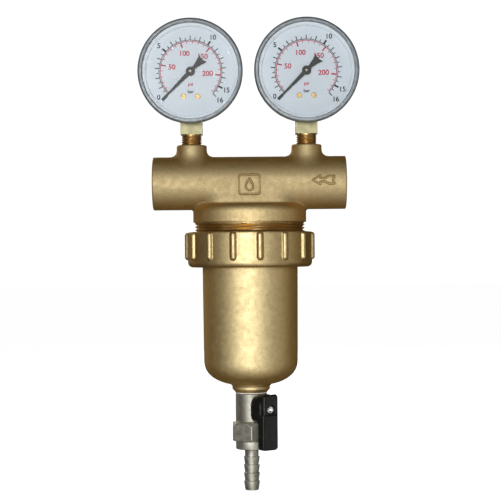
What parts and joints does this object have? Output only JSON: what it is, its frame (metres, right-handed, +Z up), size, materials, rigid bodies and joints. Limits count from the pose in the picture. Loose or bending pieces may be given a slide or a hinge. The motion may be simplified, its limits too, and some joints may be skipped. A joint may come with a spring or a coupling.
{
  "type": "self-cleaning water filter with gauges",
  "caption": "Brass in-line tee water filter with inlet and outlet pressure gauges, a screwed-on bowl with mesh cartridge, and a lever drain ball valve with hose tail.",
  "frame": {"origin": "centre of the inlet pipe mouth, on the pipe axis", "axes": "+X points out of the inlet mouth along the pipe, +Z is up, and the gauge dials face -Y"},
  "size_m": [0.1408, 0.0834, 0.3021],
  "materials": {
    "cast_brass": "sand-cast and blasted brass, satin",
    "turned_brass": "turned brass, satin",
    "stem_brass": "pale machined brass",
    "nickel": "nickel-plated brass, satin",
    "zinc_steel": "galvanised steel",
    "stainless": "stainless steel",
    "mesh_steel": "woven stainless steel",
    "movement_brass": "bright stamped brass",
    "bronze": "phosphor bronze tube",
    "dial_white": "matt white enamel with printed scales",
    "ring_white": "white plastic",
    "window_clear": "clear window",
    "pointer_black": "matt black",
    "black_rubber": "nitrile rubber",
    "ptfe": "white PTFE",
    "cap_plastic": "white polypropylene",
    "lever_black": "black nylon, glossy",
    "screw_steel": "zinc-plated screw"
  },
  "bodies": {
    "filter": {"filter_body": "cast_brass", "inlet_gauge_socket": "stem_brass", "inlet_gauge_case": "zinc_steel", "inlet_gauge_bezel": "zinc_steel", "inlet_gauge_window": "window_clear", "inlet_gauge_window_ring": "ring_white", "inlet_gauge_dial": "dial_white", "inlet_gauge_dial_screws": "movement_brass", "inlet_gauge_movement_frame": "movement_brass", "outlet_gauge_socket": "stem_brass", "outlet_gauge_case": "zinc_steel", "outlet_gauge_bezel": "zinc_steel", "outlet_gauge_window": "window_clear", "outlet_gauge_window_ring": "ring_white", "outlet_gauge_dial": "dial_white", "outlet_gauge_dial_screws": "movement_brass", "outlet_gauge_movement_frame": "movement_brass"},
    "bowl_unit": {"bowl": "turned_brass", "bowl_o_ring": "black_rubber", "slip_washer": "ptfe", "cartridge_seal": "black_rubber", "cartridge_top_cap": "cap_plastic", "cartridge_cage": "stainless", "cartridge_mesh": "mesh_steel", "cartridge_bottom_cap": "cap_plastic", "drain_thread_seal": "ptfe", "drain_valve_body": "nickel", "drain_seat_upper": "ptfe", "drain_seat_lower": "ptfe", "hose_tail": "nickel"},
    "nut": {"ring_nut": "turned_brass"},
    "lever_unit": {"drain_ball": "stainless", "drain_stem": "nickel", "stem_o_ring": "black_rubber", "drain_lever": "lever_black", "lever_screw": "screw_steel"},
    "inlet_bourdon": {"inlet_gauge_bourdon_tube": "bronze"},
    "inlet_link_arm": {"inlet_gauge_link": "movement_brass"},
    "inlet_sector": {"inlet_gauge_sector_gear": "movement_brass"},
    "inlet_needle": {"inlet_gauge_pinion": "stainless", "inlet_gauge_hairspring": "bronze", "inlet_gauge_pointer": "pointer_black"},
    "outlet_bourdon": {"outlet_gauge_bourdon_tube": "bronze"},
    "outlet_link_arm": {"outlet_gauge_link": "movement_brass"},
    "outlet_sector": {"outlet_gauge_sector_gear": "movement_brass"},
    "outlet_needle": {"outlet_gauge_pinion": "stainless", "outlet_gauge_hairspring": "bronze", "outlet_gauge_pointer": "pointer_black"}
  },
  "joints": [
    {"name": "bowl_drop", "type": "slide", "parent": "filter", "child": "bowl_unit", "axis": [0, 0, -1], "range_m": [0, 0.012]},
    {"name": "ring_nut_turn", "type": "hinge", "parent": "bowl_unit", "child": "nut", "pos_m": [-0.062, 0, -0.0427], "axis": [0, 0, -1], "range_deg": [0, 2160]},
    {"name": "drain_lever_turn", "type": "hinge", "parent": "bowl_unit", "child": "lever_unit", "pos_m": [-0.062, 0, -0.1447], "axis": [-0.6018, 0.7986, 0], "range_deg": [0, 90]},
    {"name": "inlet_pointer_turn", "type": "hinge", "parent": "filter", "child": "inlet_needle", "pos_m": [-0.025, -0.0125, 0.0711], "axis": [0, 1, 0], "range_deg": [0, 270], "stiffness_Nm_per_rad": 0.00002},
    {"name": "inlet_sector_turn", "type": "hinge", "parent": "filter", "child": "inlet_sector", "pos_m": [-0.01617, -0.0035, 0.06129], "axis": [0, 1, 0], "range_deg": [-27.5, 0]},
    {"name": "inlet_bourdon_flex", "type": "hinge", "parent": "filter", "child": "inlet_bourdon", "pos_m": [-0.03409, 0.0015, 0.05161], "axis": [0, 1, 0], "range_deg": [-7, 0]},
    {"name": "inlet_link_swing", "type": "hinge", "parent": "inlet_bourdon", "child": "inlet_link_arm", "pos_m": [-0.0088, -0.0047, 0.06877], "axis": [0, 1, 0], "range_deg": [-6.6, 0]},
    {"name": "outlet_pointer_turn", "type": "hinge", "parent": "filter", "child": "outlet_needle", "pos_m": [-0.099, -0.0125, 0.0711], "axis": [0, 1, 0], "range_deg": [0, 270], "stiffness_Nm_per_rad": 0.00002},
    {"name": "outlet_sector_turn", "type": "hinge", "parent": "filter", "child": "outlet_sector", "pos_m": [-0.09017, -0.0035, 0.06129], "axis": [0, 1, 0], "range_deg": [-27.5, 0]},
    {"name": "outlet_bourdon_flex", "type": "hinge", "parent": "filter", "child": "outlet_bourdon", "pos_m": [-0.10809, 0.0015, 0.05161], "axis": [0, 1, 0], "range_deg": [-7, 0]},
    {"name": "outlet_link_swing", "type": "hinge", "parent": "outlet_bourdon", "child": "outlet_link_arm", "pos_m": [-0.0828, -0.0047, 0.06877], "axis": [0, 1, 0], "range_deg": [-6.6, 0]}
  ],
  "couplings": [
    {"joint": "bowl_drop", "follows": "ring_nut_turn", "m_per_rad": 0.00031831},
    {"joint": "inlet_sector_turn", "follows": "inlet_pointer_turn", "ratio": -0.1},
    {"joint": "inlet_bourdon_flex", "follows": "inlet_pointer_turn", "ratio": -0.025407},
    {"joint": "inlet_link_swing", "follows": "inlet_pointer_turn", "ratio": -0.023889},
    {"joint": "outlet_sector_turn", "follows": "outlet_pointer_turn", "ratio": -0.1},
    {"joint": "outlet_bourdon_flex", "follows": "outlet_pointer_turn", "ratio": -0.025407},
    {"joint": "outlet_link_swing", "follows": "outlet_pointer_turn", "ratio": -0.023889}
  ]
}
